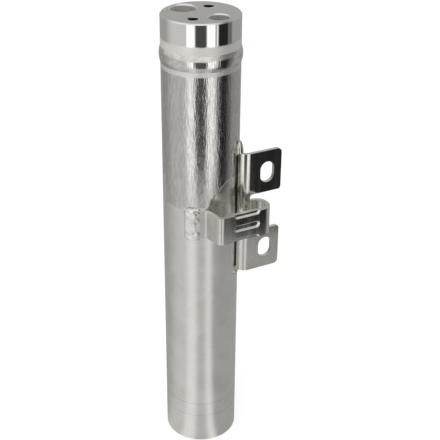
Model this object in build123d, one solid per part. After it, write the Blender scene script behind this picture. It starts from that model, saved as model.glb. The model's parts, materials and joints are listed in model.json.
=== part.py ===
from build123d import *
import math
import os

# Receiver drier: a slim aluminium can closed by a drilled head, with a folded mounting bracket.
# Frame: origin at the centre of the flat base on the can's axis, +Z up, +X along the bracket's
# ears, -Y towards the loop of its strap. Millimetres.

# Body
BODY_DIAMETER = 45.0
BODY_LENGTH = 280.0
WALL = 2.0
BASE_THICKNESS = 3.5
BASE_CORNER = 1.5
BASE_INNER_CORNER = 2.0

# Head block
SEAM_BELOW_TOP = 22.2
SPIGOT_LENGTH = 12.0
SPIGOT_GAP = 0.1
TOP_CHAMFER = 0.7
PORT_CIRCLE_RADIUS = 13.1
INLET_ANGLE = 111.5
OUTLET_ANGLE = INLET_ANGLE + 180.0
INLET_STUD_ANGLE = 44.0
OUTLET_STUD_ANGLE = INLET_STUD_ANGLE + 180.0
INLET_BORE = 14.5
INLET_BORE_DEPTH = 12.0
INLET_CHAMFER = 0.85
OUTLET_BORE = 11.5
OUTLET_BORE_DEPTH = 11.0
OUTLET_CHAMFER = 0.7
PASSAGE_BORE = 8.0
STUD_BORE = 5.0
STUD_BORE_DEPTH = 14.0
STUD_CHAMFER = 0.6
POINT_ANGLE = 118.0
DOT_RADIUS_FROM_AXIS = 20.2
DOT_ANGLE = 141.0
DOT_DIAMETER = 2.2
DOT_DEPTH = 0.6
BOSS_DIAMETER = 9.0
BOSS_LENGTH = 7.0

# Seam weld round the head
BEAD_WIDTH = 9.2
BEAD_CROWN = 0.85
BEAD_ROOT_GAP = 1.0

# Mounting bracket, one folded sheet
SHEET = 2.3
BRACKET_BELOW_TOP = 117.5
EAR_HEIGHT = 26.2
STRAP_WIDTH = 17.0
NOTCH_WIDTH = 3.8
FOOT_ANGLE = 60.0
FOOT_BEND_OUTER = 6.0
FOOT_GAP = 0.25
EAR_STANDOFF = 0.3
EAR_START_X = 20.5
EAR_END_X = 41.0
EAR_CORNER = 2.8
EAR_INNER_CORNER = 1.8
SLOT_X = 31.6
SLOT_SPACING = 50.0
SLOT_WIDTH = 9.0
SLOT_LENGTH = 13.0
LOOP_DEPTH = 15.3
LOOP_END_X = 29.4
LOOP_BEND_OUTER = 6.8
STRAP_CORNER_X = -6.1
STRAP_BEND_OUTER = 3.5
STRAP_LEG_SLOPE = 11.0
PAD_BEND_RADIUS = 3.0
PAD_END_ANGLE = -118.5
PAD_GAP = 0.1
RIB_LENGTH = 17.0
RIB_WIDTH = 4.4
RIB_DEPTH = 1.1
RIB_DRAFT = 40.0
RIB_MID_X = 11.5
RIB_FLOOR_FILLET = 0.4

# Bracket welds
UPPER_WELD_OUT = 1.0
UPPER_WELD_TURN = 0.0
UPPER_WELD_SIZE = (2.3, 2.6, 7.5)
LOWER_WELD_OUT = 0.2
LOWER_WELD_TURN = -4.0
LOWER_WELD_SIZE = (1.7, 2.3, 3.6)
STRAP_WELD_ANGLE = 20.0
STRAP_WELD_HEIGHT = 21.0
STRAP_WELD_THICKNESS = 1.9
STRAP_WELD_DROP = 0.8
STRAP_WELD_CORNER = 3.0
STRAP_WELD_EDGE = 1.4

# Pick-up tube and its strainer
TUBE_DIAMETER = 10.0
TUBE_WALL = 1.0
TUBE_END_Z = 18.0
TUBE_SOCKET_DEPTH = 12.0
SOCKET_GAP = 0.05
SEAL_SECTION = 1.7
SEAL_GROOVE_HEIGHT = 2.2
SEAL_BELOW_SHOULDER = 8.0
CAGE_WALL = 1.0
CAGE_CAN_GAP = 0.4
CAGE_BOTTOM_Z = 6.0
CAGE_HEIGHT = 20.0
CAGE_COLLAR = 4.0
CAGE_WINDOW_WIDTH = 6.0
CAGE_WINDOW_HEIGHT = 10.0
SCREEN_THICKNESS = 0.3
SCREEN_GAP = 0.1

# Drying stack
STACK_GAP = 0.1
STANDOFF_HEIGHT = 24.5
STANDOFF_WALL = 1.0
STANDOFF_OPENING = 60.0
PLATE_THICKNESS = 1.0
PLATE_HOLE = 3.5
PLATE_HOLE_PITCH = 7.5
PLATE_EDGE = 3.5
TUBE_CLEARANCE = 0.2
PAD_THICKNESS = 8.0
SPRING_SPACE = 47.3
SPRING_WIRE_WIDTH = 1.5
SPRING_WIRE_HEIGHT = 2.0
SPRING_TURNS = 4.0
SPRING_WALL_GAP = 0.35

# Inlet deflector
DEFLECTOR_THICKNESS = 1.2
DEFLECTOR_FLAT_DIAMETER = 28.0
DEFLECTOR_DIAMETER = 34.6
DEFLECTOR_DROP = 3.0
DEFLECTOR_TUBE_GAP = 1.0
SCREW_SHANK = 3.6
SCREW_PILOT = 3.7
SCREW_PILOT_SPARE = 1.0
SCREW_HEAD = 7.0
SCREW_HEAD_HEIGHT = 2.4
SCREW_ENGAGEMENT = 5.0
SCREW_HOLE = 4.2

# Levels and radii that follow
BODY_RADIUS = BODY_DIAMETER / 2
CAN_INNER_RADIUS = BODY_RADIUS - WALL
SPIGOT_RADIUS = CAN_INNER_RADIUS - SPIGOT_GAP
SEAM_Z = BODY_LENGTH - SEAM_BELOW_TOP
SHOULDER_Z = SEAM_Z + BEAD_ROOT_GAP / 2
LIP_Z = SEAM_Z - BEAD_ROOT_GAP / 2
SPIGOT_END_Z = SHOULDER_Z - SPIGOT_LENGTH
BRACKET_MID_Z = BODY_LENGTH - BRACKET_BELOW_TOP
BRACKET_HEIGHT = 2 * (EAR_HEIGHT + NOTCH_WIDTH) + STRAP_WIDTH
BRACKET_LOW_Z = BRACKET_MID_Z - BRACKET_HEIGHT / 2
BRACKET_TOP_Z = BRACKET_MID_Z + BRACKET_HEIGHT / 2
STRAP_LOW_Z = BRACKET_MID_Z - STRAP_WIDTH / 2
EAR_FACE_Y = -BODY_RADIUS - EAR_STANDOFF
CAGE_DIAMETER = 2 * (CAN_INNER_RADIUS - PORT_CIRCLE_RADIUS - CAGE_CAN_GAP)
STACK_RADIUS = CAN_INNER_RADIUS - STACK_GAP
STANDOFF_LOW_Z = BASE_THICKNESS + BASE_INNER_CORNER
LOWER_PLATE_Z = STANDOFF_LOW_Z + STANDOFF_HEIGHT
LOWER_PAD_Z = LOWER_PLATE_Z + PLATE_THICKNESS
BED_Z = LOWER_PAD_Z + PAD_THICKNESS
SPRING_Z = SPIGOT_END_Z - SPRING_SPACE
UPPER_PLATE_Z = SPRING_Z - PLATE_THICKNESS
UPPER_PAD_Z = UPPER_PLATE_Z - PAD_THICKNESS
DEFLECTOR_Z = SPIGOT_END_Z - BOSS_LENGTH
TUBE_SOCKET_Z = SPIGOT_END_Z + TUBE_SOCKET_DEPTH
SEAL_Z = SHOULDER_Z - SEAL_BELOW_SHOULDER


def polar(radius, degrees):
    """Point at a radius and an angle from +X in plan."""
    angle = math.radians(degrees)
    return radius * math.cos(angle), radius * math.sin(angle)


INLET_AT = polar(PORT_CIRCLE_RADIUS, INLET_ANGLE)
OUTLET_AT = polar(PORT_CIRCLE_RADIUS, OUTLET_ANGLE)


def disc(diameter, low_z, high_z, at=(0, 0)):
    """Upright cylinder between two levels."""
    return Pos(at[0], at[1], low_z) * Cylinder(
        diameter / 2, high_z - low_z, align=(Align.CENTER, Align.CENTER, Align.MIN)
    )


def turned(points, degrees=360.0, start=0.0):
    """Solid of revolution about Z from (radius, z) corners."""
    outline = Polyline(*[(r, 0, z) for r, z in points], close=True)
    return Rot(0, 0, start) * revolve(make_face(outline), Axis.Z, degrees)


def drilled(diameter, depth, chamfer, at, top_z=BODY_LENGTH):
    """Blind hole from a face down, with a chamfered mouth and a drill point."""
    radius = diameter / 2
    point = radius / math.tan(math.radians(POINT_ANGLE / 2))
    outline = [
        (0, top_z),
        (radius + chamfer, top_z),
        (radius, top_z - chamfer),
        (radius, top_z - depth),
        (0, top_z - depth - point),
    ]
    return Pos(at[0], at[1], 0) * turned(outline)


def head_block():
    """Turned head with its spigot, two ports, two stud holes and the tube's socket."""
    prep = BODY_RADIUS - SPIGOT_RADIUS
    block = turned(
        [
            (0, SPIGOT_END_Z),
            (SPIGOT_RADIUS, SPIGOT_END_Z),
            (SPIGOT_RADIUS, SHOULDER_Z),
            (BODY_RADIUS, SHOULDER_Z + prep),
            (BODY_RADIUS, BODY_LENGTH - TOP_CHAMFER),
            (BODY_RADIUS - TOP_CHAMFER, BODY_LENGTH),
            (0, BODY_LENGTH),
        ]
    )
    block += disc(BOSS_DIAMETER, DEFLECTOR_Z, SPIGOT_END_Z)
    block -= drilled(INLET_BORE, INLET_BORE_DEPTH, INLET_CHAMFER, INLET_AT)
    block -= drilled(OUTLET_BORE, OUTLET_BORE_DEPTH, OUTLET_CHAMFER, OUTLET_AT)
    for angle in (INLET_STUD_ANGLE, OUTLET_STUD_ANGLE):
        block -= drilled(STUD_BORE, STUD_BORE_DEPTH, STUD_CHAMFER, polar(PORT_CIRCLE_RADIUS, angle))
    block -= disc(PASSAGE_BORE, SPIGOT_END_Z, BODY_LENGTH - INLET_BORE_DEPTH, INLET_AT)
    block -= disc(PASSAGE_BORE, SPIGOT_END_Z, BODY_LENGTH - OUTLET_BORE_DEPTH, OUTLET_AT)
    block -= disc(TUBE_DIAMETER + 2 * SOCKET_GAP, SPIGOT_END_Z, TUBE_SOCKET_Z, OUTLET_AT)
    groove = TUBE_DIAMETER + 2 * (SEAL_SECTION + 2 * SOCKET_GAP)
    half = SEAL_GROOVE_HEIGHT / 2
    block -= disc(groove, SEAL_Z - half, SEAL_Z + half, OUTLET_AT)
    block -= disc(SCREW_PILOT, DEFLECTOR_Z, DEFLECTOR_Z + SCREW_ENGAGEMENT + SCREW_PILOT_SPARE)
    dot = Cone(0, DOT_DIAMETER / 2, DOT_DEPTH, align=(Align.CENTER, Align.CENTER, Align.MAX))
    block -= Pos(*polar(DOT_RADIUS_FROM_AXIS, DOT_ANGLE), BODY_LENGTH) * dot
    return block


def shell_can():
    """Drawn can with its own base, bevelled at the lip for the seam."""
    outside = turned(
        [(0, 0), (BODY_RADIUS, 0), (BODY_RADIUS, LIP_Z - WALL), (CAN_INNER_RADIUS, LIP_Z), (0, LIP_Z)]
    )
    outside = fillet(outside.edges().group_by(Axis.Z)[0], BASE_CORNER)
    inside = disc(2 * CAN_INNER_RADIUS, BASE_THICKNESS, LIP_Z)
    inside = fillet(inside.edges().group_by(Axis.Z)[0], BASE_INNER_CORNER)
    return outside - inside


def head_weld_bead():
    """Crowned seam weld that fills the groove between head and can."""
    prep = BODY_RADIUS - SPIGOT_RADIUS
    low_z = SEAM_Z - BEAD_WIDTH / 2
    high_z = SEAM_Z + BEAD_WIDTH / 2
    crown = ThreePointArc(
        (BODY_RADIUS, 0, low_z), (BODY_RADIUS + BEAD_CROWN, 0, SEAM_Z), (BODY_RADIUS, 0, high_z)
    )
    groove = Polyline(
        (BODY_RADIUS, 0, high_z),
        (BODY_RADIUS, 0, SHOULDER_Z + prep),
        (SPIGOT_RADIUS, 0, SHOULDER_Z),
        (SPIGOT_RADIUS, 0, LIP_Z),
        (CAN_INNER_RADIUS, 0, LIP_Z),
        (BODY_RADIUS, 0, LIP_Z - WALL),
        (BODY_RADIUS, 0, low_z),
    )
    return revolve(make_face([crown, groove]), Axis.Z)


def to_circle(point, step, radius):
    """Distance from a point along a step to a circle round the can's axis."""
    along = -point.dot(step)
    return along - math.sqrt(along**2 - point.dot(point) + radius**2)


def moved_run(corners, radii, side):
    """Path with rounded corners, moved to its left by side with its bends kept concentric."""
    steps = [(Vector(b) - Vector(a)).normalized() for a, b in zip(corners, corners[1:])]
    lefts = [Vector(-step.Y, step.X) for step in steps]
    moved = []
    for corner, before, after in zip(corners, lefts[:1] + lefts, lefts + lefts[-1:]):
        moved.append(Vector(corner) + (before + after) * (side / (1 + before.dot(after))))
    turns = [math.copysign(1, a.cross(b).Z) for a, b in zip(steps, steps[1:])]
    return FilletPolyline(*moved, radius=[radius - side * turn for radius, turn in zip(radii, turns)])


def foot_corners():
    """Foot's end on the can and the corner of its bend, on the sheet's middle line."""
    angle = math.radians(FOOT_ANGLE)
    mid_radius = FOOT_BEND_OUTER - SHEET / 2
    corner = Vector(EAR_START_X - mid_radius * math.tan(angle / 2), EAR_FACE_Y + SHEET / 2)
    step = Vector(-math.cos(angle), math.sin(angle))
    return [corner + step * to_circle(corner, step, BODY_RADIUS + FOOT_GAP), corner]


def ear_line(side):
    """One face of the plain sheet in plan: foot, bend and ear."""
    corners = foot_corners() + [Vector(EAR_END_X, EAR_FACE_Y + SHEET / 2)]
    return moved_run(corners, [FOOT_BEND_OUTER - SHEET / 2], side)


def strap_line(side):
    """One face of the strap in plan: foot, back, loop, front, leg and the pad on the can."""
    half = SHEET / 2
    back_y = EAR_FACE_Y + half
    loop_x = LOOP_END_X - half
    front_y = EAR_FACE_Y + SHEET - LOOP_DEPTH + half
    slope = math.radians(STRAP_LEG_SLOPE)
    leg_corner = Vector(STRAP_CORNER_X + half * math.tan((math.pi / 2 - slope) / 2), front_y)
    leg_step = Vector(-math.sin(slope), math.cos(slope))
    leg_left = Vector(-leg_step.Y, leg_step.X)
    pad_radius = BODY_RADIUS + PAD_GAP + half
    bend_start = leg_corner + leg_left * PAD_BEND_RADIUS
    leg_length = to_circle(bend_start, leg_step, pad_radius + PAD_BEND_RADIUS)
    bend_centre = bend_start + leg_step * leg_length
    pad_angle = math.degrees(math.atan2(bend_centre.Y, bend_centre.X))
    corners = foot_corners() + [
        Vector(loop_x, back_y),
        Vector(loop_x, front_y),
        leg_corner,
        leg_corner + leg_step * leg_length,
    ]
    radii = [FOOT_BEND_OUTER - half, LOOP_BEND_OUTER - half, LOOP_BEND_OUTER - half, STRAP_BEND_OUTER - half]
    run = moved_run(corners, radii, side)
    into_pad = JernArc(run @ 1, leg_step, PAD_BEND_RADIUS - side, 180 + pad_angle - STRAP_LEG_SLOPE)
    pad = JernArc(into_pad @ 1, into_pad % 1, pad_radius + side, PAD_END_ANGLE - pad_angle)
    return Curve() + [run, into_pad, pad]


def sheet_face(line_maker):
    """Closed outline between the two faces of the sheet."""
    left = line_maker(SHEET / 2)
    right = line_maker(-SHEET / 2)
    ends = [Line(left @ 0, right @ 0), Line(left @ 1, right @ 1)]
    return make_face(Curve() + [left, right] + ends)


def ear_outline():
    """Front view of foot and ears, with their slots and the notches beside the strap."""
    sideways = (Align.MIN, Align.CENTER)
    outline = Rectangle(EAR_END_X, BRACKET_HEIGHT, align=sideways)
    outline = fillet(outline.vertices().group_by(Axis.X)[-1], EAR_CORNER)
    radius = NOTCH_WIDTH / 2
    window = Rectangle(EAR_END_X, STRAP_WIDTH + 2 * NOTCH_WIDTH, align=sideways)
    outline -= Pos(EAR_START_X + radius, 0) * window
    ends = sorted(outline.vertices().group_by(Axis.X)[-1], key=lambda corner: abs(corner.Y))
    outline = fillet(ends[:2], EAR_INNER_CORNER)
    slot = Rot(0, 0, 90) * SlotOverall(SLOT_LENGTH, SLOT_WIDTH)
    for way in (-1, 1):
        outline -= Pos(EAR_START_X + radius, way * (STRAP_WIDTH / 2 + radius)) * Circle(radius)
        outline -= Pos(SLOT_X, way * SLOT_SPACING / 2) * slot
    return outline


def rib(face_y):
    """Pressed rib as a drafted stadium, from one face of the strap's front inwards."""
    plane = Plane(origin=(RIB_MID_X, face_y, 0), x_dir=(1, 0, 0), z_dir=(0, 1, 0))
    shape = extrude(plane * SlotOverall(RIB_LENGTH, RIB_WIDTH), RIB_DEPTH, taper=RIB_DRAFT)
    return fillet(shape.faces().sort_by(Axis.Y)[-1].edges(), RIB_FLOOR_FILLET)


def mounting_bracket():
    """Folded sheet: foot, two slotted ears and the looped strap with three pressed ribs."""
    front = Plane(origin=(0, 0, BRACKET_MID_Z), x_dir=(1, 0, 0), z_dir=(0, -1, 0))
    plate = Pos(0, 0, BRACKET_LOW_Z) * extrude(sheet_face(ear_line), BRACKET_HEIGHT)
    plate &= extrude(front * ear_outline(), 2 * BODY_DIAMETER)
    strap = Pos(0, 0, STRAP_LOW_Z) * extrude(sheet_face(strap_line), STRAP_WIDTH)
    band = Pos(0, 0, BRACKET_MID_Z) * Box(4 * EAR_END_X, 4 * EAR_END_X, STRAP_WIDTH)
    front_y = EAR_FACE_Y + SHEET - LOOP_DEPTH
    for level in (-STRAP_WIDTH / 2, 0, STRAP_WIDTH / 2):
        lift = Pos(0, 0, BRACKET_MID_Z + level)
        strap += (lift * rib(front_y + SHEET)) & band
        strap -= lift * rib(front_y)
    return plate + strap


def weld_blob(out, turn, size, level, bracket, grow_up):
    """Short run of weld at one end of the foot, moulded to the can and the sheet."""
    foot_end = foot_corners()[0]
    angle = math.degrees(math.atan2(foot_end.Y, foot_end.X)) + turn
    radial, tangential, reach = size
    blob = Pos(foot_end.length + out, 0, level) * scale(Sphere(1.0), by=(radial, tangential, reach))
    keep = Pos(0, 0, level) * Box(
        4 * BODY_RADIUS,
        4 * BODY_RADIUS,
        2 * reach,
        align=(Align.CENTER, Align.CENTER, Align.MIN if grow_up else Align.MAX),
    )
    blob = Rot(0, 0, angle) * (blob & keep)
    blob -= disc(BODY_DIAMETER, 0, BODY_LENGTH)
    blob -= bracket
    return max(blob.solids(), key=lambda piece: piece.volume)


def strap_end_weld(bracket):
    """Broad pillow of weld along the strap's end edge."""
    outer = BODY_RADIUS + STRAP_WELD_THICKNESS
    mid_angle = PAD_END_ANGLE - STRAP_WELD_ANGLE / 2
    width = 2 * outer * math.sin(math.radians(STRAP_WELD_ANGLE / 2)) + STRAP_WELD_THICKNESS
    level = BRACKET_MID_Z - STRAP_WELD_DROP
    inside = polar(BODY_RADIUS - STRAP_WELD_CORNER, mid_angle)
    plane = Plane(origin=(*inside, level), x_dir=(0, 0, 1), z_dir=(*polar(1, mid_angle), 0))
    pillow = extrude(plane * RectangleRounded(STRAP_WELD_HEIGHT, width, STRAP_WELD_CORNER), BODY_RADIUS)
    pillow &= disc(2 * outer, 0, BODY_LENGTH)
    skin = pillow.faces().sort_by_distance((*polar(outer, mid_angle), level))[0]
    pillow = fillet(skin.edges(), STRAP_WELD_EDGE)
    pillow -= disc(BODY_DIAMETER, 0, BODY_LENGTH)
    reach = 2 * BODY_RADIUS
    sector = [(0, 0), (reach, 0), (reach, BODY_LENGTH), (0, BODY_LENGTH)]
    pillow &= turned(sector, 90, PAD_END_ANGLE - 90)
    return pillow - bracket


def pickup_tube():
    """Straight tube that draws the dried liquid from the foot of the can."""
    outer = disc(TUBE_DIAMETER, TUBE_END_Z, TUBE_SOCKET_Z, OUTLET_AT)
    return outer - disc(TUBE_DIAMETER - 2 * TUBE_WALL, TUBE_END_Z, TUBE_SOCKET_Z, OUTLET_AT)


def pickup_seal_ring():
    """Ring that seals the tube in the head's socket."""
    middle = (TUBE_DIAMETER + SEAL_SECTION) / 2 + SOCKET_GAP
    return Pos(OUTLET_AT[0], OUTLET_AT[1], SEAL_Z) * Torus(middle, SEAL_SECTION / 2)


def strainer_cage():
    """Moulded basket on the tube's foot, with four windows."""
    top_z = CAGE_BOTTOM_Z + CAGE_HEIGHT
    cage = disc(CAGE_DIAMETER, CAGE_BOTTOM_Z, top_z, OUTLET_AT)
    cage -= disc(CAGE_DIAMETER - 2 * CAGE_WALL, CAGE_BOTTOM_Z + CAGE_WALL, top_z - CAGE_COLLAR, OUTLET_AT)
    cage -= disc(TUBE_DIAMETER + 2 * SOCKET_GAP, CAGE_BOTTOM_Z + CAGE_WALL, top_z, OUTLET_AT)
    window_z = CAGE_BOTTOM_Z + 2 * CAGE_WALL + CAGE_WINDOW_HEIGHT / 2
    for turn in (45, 135):
        window = Box(2 * CAGE_DIAMETER, CAGE_WINDOW_WIDTH, CAGE_WINDOW_HEIGHT)
        cage -= Pos(OUTLET_AT[0], OUTLET_AT[1], window_z) * (Rot(0, 0, turn) * window)
    return cage


def strainer_screen():
    """Fine sleeve inside the basket."""
    low_z = CAGE_BOTTOM_Z + CAGE_WALL
    high_z = CAGE_BOTTOM_Z + CAGE_HEIGHT - CAGE_COLLAR
    outer = CAGE_DIAMETER - 2 * CAGE_WALL - 2 * SCREEN_GAP
    sleeve = disc(outer, low_z, high_z, OUTLET_AT)
    return sleeve - disc(outer - 2 * SCREEN_THICKNESS, low_z, high_z, OUTLET_AT)


def standoff_ring():
    """Rolled strip, open towards the strainer, that holds the stack off the base."""
    inner = STACK_RADIUS - STANDOFF_WALL
    section = [
        (inner, STANDOFF_LOW_Z),
        (STACK_RADIUS, STANDOFF_LOW_Z),
        (STACK_RADIUS, LOWER_PLATE_Z),
        (inner, LOWER_PLATE_Z),
    ]
    return turned(section, 360 - STANDOFF_OPENING, OUTLET_ANGLE + STANDOFF_OPENING / 2)


def stack_disc(low_z, thickness):
    """Disc of the drying stack with the tube's hole through it."""
    whole = disc(2 * STACK_RADIUS, low_z, low_z + thickness)
    hole = TUBE_DIAMETER + 2 * TUBE_CLEARANCE
    return whole - disc(hole, low_z, low_z + thickness, OUTLET_AT)


def screen_plate(low_z):
    """Perforated disc that holds a filter pad."""
    plate = stack_disc(low_z, PLATE_THICKNESS)
    reach = int(STACK_RADIUS // PLATE_HOLE_PITCH)
    for row in range(-reach, reach + 1):
        for column in range(-reach, reach + 1):
            x = (column + (row % 2) / 2) * PLATE_HOLE_PITCH
            y = row * PLATE_HOLE_PITCH * math.sqrt(3) / 2
            near_tube = math.dist((x, y), OUTLET_AT) < (TUBE_DIAMETER + PLATE_HOLE) / 2 + PLATE_THICKNESS
            if math.hypot(x, y) > STACK_RADIUS - PLATE_EDGE or near_tube:
                continue
            plate -= disc(PLATE_HOLE, low_z, low_z + PLATE_THICKNESS, (x, y))
    return plate


def hold_down_spring():
    """Open coil of flat wire between the head and the upper plate, round the tube."""
    radius = CAN_INNER_RADIUS - SPRING_WALL_GAP - SPRING_WIRE_WIDTH / 2
    low_z = SPRING_Z + STACK_GAP + SPRING_WIRE_HEIGHT / 2
    height = SPIGOT_END_Z - STACK_GAP - SPRING_WIRE_HEIGHT / 2 - low_z
    path = Pos(0, 0, low_z) * Helix(height / SPRING_TURNS, height, radius)
    start = Plane(origin=path @ 0, x_dir=(1, 0, 0), z_dir=path % 0)
    return sweep(start * Rectangle(SPRING_WIRE_WIDTH, SPRING_WIRE_HEIGHT), path=path, is_frenet=True)


def inlet_deflector():
    """Dished plate under the inlet that spreads the flow, cut away for the tube."""
    flat = DEFLECTOR_FLAT_DIAMETER / 2
    rim = DEFLECTOR_DIAMETER / 2
    low = DEFLECTOR_Z - DEFLECTOR_THICKNESS
    plate = turned(
        [
            (SCREW_HOLE / 2, DEFLECTOR_Z),
            (flat, DEFLECTOR_Z),
            (rim, DEFLECTOR_Z - DEFLECTOR_DROP),
            (rim, low - DEFLECTOR_DROP),
            (flat, low),
            (SCREW_HOLE / 2, low),
        ]
    )
    tube_room = TUBE_DIAMETER + 2 * DEFLECTOR_TUBE_GAP
    room = disc(tube_room, low - 2 * DEFLECTOR_DROP, DEFLECTOR_Z, OUTLET_AT)
    plate -= room
    return max(plate.solids(), key=lambda piece: piece.volume)


def deflector_screw():
    """Round-headed screw into the head's boss."""
    seat_z = DEFLECTOR_Z - DEFLECTOR_THICKNESS
    head = disc(SCREW_HEAD, seat_z - SCREW_HEAD_HEIGHT, seat_z)
    head = fillet(head.edges().group_by(Axis.Z)[0], SCREW_HEAD_HEIGHT / 2)
    return head + disc(SCREW_SHANK, seat_z, DEFLECTOR_Z + SCREW_ENGAGEMENT)


def build():
    """Makes every piece and returns it under its node's name."""
    bracket = mounting_bracket()
    upper_weld = weld_blob(UPPER_WELD_OUT, UPPER_WELD_TURN, UPPER_WELD_SIZE, BRACKET_TOP_Z, bracket, True)
    lower_weld = weld_blob(LOWER_WELD_OUT, LOWER_WELD_TURN, LOWER_WELD_SIZE, BRACKET_LOW_Z, bracket, False)
    return {
        "head_block": head_block(),
        "shell_can": shell_can(),
        "head_weld_bead": head_weld_bead(),
        "mounting_bracket": bracket,
        "upper_bracket_weld": upper_weld,
        "lower_bracket_weld": lower_weld,
        "strap_end_weld": strap_end_weld(bracket),
        "pickup_tube": pickup_tube(),
        "pickup_seal_ring": pickup_seal_ring(),
        "strainer_cage": strainer_cage(),
        "strainer_screen": strainer_screen(),
        "standoff_ring": standoff_ring(),
        "lower_screen_plate": screen_plate(LOWER_PLATE_Z),
        "lower_filter_pad": stack_disc(LOWER_PAD_Z, PAD_THICKNESS),
        "desiccant_bed": stack_disc(BED_Z, UPPER_PAD_Z - BED_Z),
        "upper_filter_pad": stack_disc(UPPER_PAD_Z, PAD_THICKNESS),
        "upper_screen_plate": screen_plate(UPPER_PLATE_Z),
        "hold_down_spring": hold_down_spring(),
        "inlet_deflector": inlet_deflector(),
        "deflector_screw": deflector_screw(),
    }


os.makedirs("parts", exist_ok=True)
for node, piece in build().items():
    export_step(piece, f"parts/{node}.step")
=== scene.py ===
import json
import logging
import math
from collections.abc import Callable, Iterable, Sequence
from dataclasses import dataclass, field
from enum import Enum
from typing import Any

import bmesh
import bpy
from mathutils import Matrix, Vector, noise


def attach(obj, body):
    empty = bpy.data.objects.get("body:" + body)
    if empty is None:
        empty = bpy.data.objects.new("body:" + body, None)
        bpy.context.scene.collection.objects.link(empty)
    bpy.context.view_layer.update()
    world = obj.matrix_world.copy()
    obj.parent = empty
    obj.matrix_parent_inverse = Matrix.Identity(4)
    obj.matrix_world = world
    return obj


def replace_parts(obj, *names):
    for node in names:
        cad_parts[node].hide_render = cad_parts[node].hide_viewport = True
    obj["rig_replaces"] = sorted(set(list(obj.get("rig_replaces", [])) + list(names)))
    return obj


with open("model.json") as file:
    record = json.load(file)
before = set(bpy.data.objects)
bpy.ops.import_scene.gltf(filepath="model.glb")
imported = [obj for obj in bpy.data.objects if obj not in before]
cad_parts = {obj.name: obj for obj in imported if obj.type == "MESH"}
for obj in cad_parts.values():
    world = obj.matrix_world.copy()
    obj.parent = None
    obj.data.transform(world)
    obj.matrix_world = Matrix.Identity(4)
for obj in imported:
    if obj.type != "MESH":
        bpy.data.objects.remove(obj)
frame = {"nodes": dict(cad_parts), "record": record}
log = logging.getLogger("receiver_drier")

MM = 0.001
BODY = "root"
CAMERA_AZIMUTH = -117.0  # where the camera stands, in degrees from +X in plan
Ring = tuple[float, float]
Colour = tuple[float, float, float]


# Shapes


def polar(radius: float, degrees: float) -> tuple[float, float]:
    """Point in plan at a radius in millimetres and an angle from +X."""
    turn = math.radians(degrees)
    return radius * math.cos(turn), radius * math.sin(turn)


def smooth_step(low: float, high: float, value: float) -> float:
    """Soft rise from 0 at low to 1 at high."""
    share = min(max((value - low) / (high - low), 0.0), 1.0)
    return share * share * (3 - 2 * share)


def spun(corners: Sequence[Ring], steps: int) -> bmesh.types.BMesh:
    """Spins a closed outline about the upright axis.

    Args:
        corners: radius and height of each corner, in millimetres, round the outline.
        steps: number of facets round the axis.

    Returns:
        A closed bmesh in metres with its faces outwards.
    """
    bm = bmesh.new()
    verts = [bm.verts.new((radius * MM, 0.0, height * MM)) for radius, height in corners]
    pairs = zip(verts, verts[1:] + verts[:1])
    chain = [bm.edges.new(pair) for pair in pairs if max(vert.co.x for vert in pair) > 0.0]
    bmesh.ops.spin(
        bm, geom=verts + chain, cent=(0, 0, 0), axis=(0, 0, 1), angle=2 * math.pi, steps=steps, use_merge=True
    )
    bmesh.ops.remove_doubles(bm, verts=bm.verts[:], dist=1e-6)
    bmesh.ops.recalc_face_normals(bm, faces=bm.faces[:])
    return bm


def ring_edges(bm: bmesh.types.BMesh, radius: float, height: float) -> list[bmesh.types.BMEdge]:
    """Edges of the ring that lies at a radius and height in millimetres."""
    return [
        edge
        for edge in bm.edges
        if all(
            abs(math.hypot(v.co.x, v.co.y) - radius * MM) < 2e-6 and abs(v.co.z - height * MM) < 2e-6
            for v in edge.verts
        )
    ]


def round_ring(bm: bmesh.types.BMesh, ring: Ring, size: float, segments: int) -> None:
    """Rounds one ring's edge by a size in millimetres."""
    bmesh.ops.bevel(
        bm,
        geom=ring_edges(bm, *ring),
        offset=size * MM,
        offset_type="OFFSET",
        segments=segments,
        profile=0.5,
        affect="EDGES",
        material=-1,
    )


def circle_loop(
    bm: bmesh.types.BMesh, centre: tuple[float, float], radius: float, height: float, steps: int
) -> list[bmesh.types.BMEdge]:
    """Adds an open circle and gives its edges.

    Args:
        bm: bmesh that takes the circle.
        centre: its middle in plan, in millimetres.
        radius: its radius in millimetres.
        height: its level in millimetres.
        steps: number of edges.

    Returns:
        The circle's edges.
    """
    place = Matrix.Translation((centre[0] * MM, centre[1] * MM, height * MM))
    made = bmesh.ops.create_circle(bm, cap_ends=False, radius=radius * MM, segments=steps, matrix=place)
    return list({edge for vert in made["verts"] for edge in vert.link_edges})


def sink_wall(
    bm: bmesh.types.BMesh,
    edges: list[bmesh.types.BMEdge],
    centre: tuple[float, float],
    rings: Sequence[Ring],
) -> list[bmesh.types.BMEdge]:
    """Carries a circle down or up through a run of rings.

    Args:
        bm: bmesh that holds the circle.
        edges: the circle's edges, at the first ring.
        centre: the circle's middle in plan, in millimetres.
        rings: radius and height of each ring, the first one being where the circle is.

    Returns:
        The edges of the last ring.
    """
    space = Matrix.Translation((-centre[0] * MM, -centre[1] * MM, 0.0))
    for (radius, height), (next_radius, next_height) in zip(rings, rings[1:]):
        made = bmesh.ops.extrude_edge_only(bm, edges=edges)["geom"]
        verts = {g for g in made if isinstance(g, bmesh.types.BMVert)}
        edges = [g for g in made if isinstance(g, bmesh.types.BMEdge) and set(g.verts) <= verts]
        ratio = next_radius / radius
        bmesh.ops.scale(bm, vec=(ratio, ratio, 1.0), space=space, verts=list(verts))
        bmesh.ops.translate(bm, vec=(0.0, 0.0, (next_height - height) * MM), verts=list(verts))
    return edges


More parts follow.
